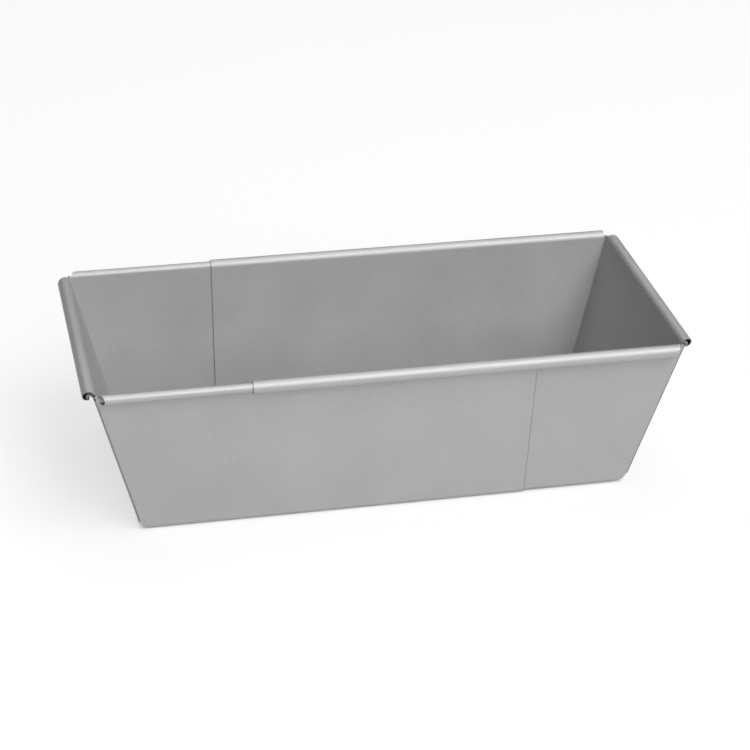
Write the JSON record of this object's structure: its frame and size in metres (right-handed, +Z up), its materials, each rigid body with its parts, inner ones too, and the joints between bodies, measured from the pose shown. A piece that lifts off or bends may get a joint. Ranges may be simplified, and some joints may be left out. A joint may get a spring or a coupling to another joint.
{
  "type": "adjustable loaf pan",
  "caption": "Rectangular sheet-steel loaf pan with leaning walls, folded corners and rolled rims; an open-ended inner tray slides in the outer tray along the rims to set the length.",
  "frame": {"origin": "on the table, under the middle of the pan as it stands in the picture, part drawn out", "axes": "+X along the pan towards the inner tray's closed end, +Y across it towards the back, +Z up"},
  "size_m": [0.248, 0.115, 0.07],
  "materials": {
    "coated_steel": "satin silver-grey metallic coat, fine even grain"
  },
  "bodies": {
    "outer_tray": {"outer_tray": "coated_steel"},
    "inner_tray": {"inner_tray": "coated_steel"}
  },
  "joints": [
    {"name": "length_slide", "type": "slide", "parent": "outer_tray", "child": "inner_tray", "axis": [1, 0, 0], "range_m": [-0.038, 0.093]}
  ]
}
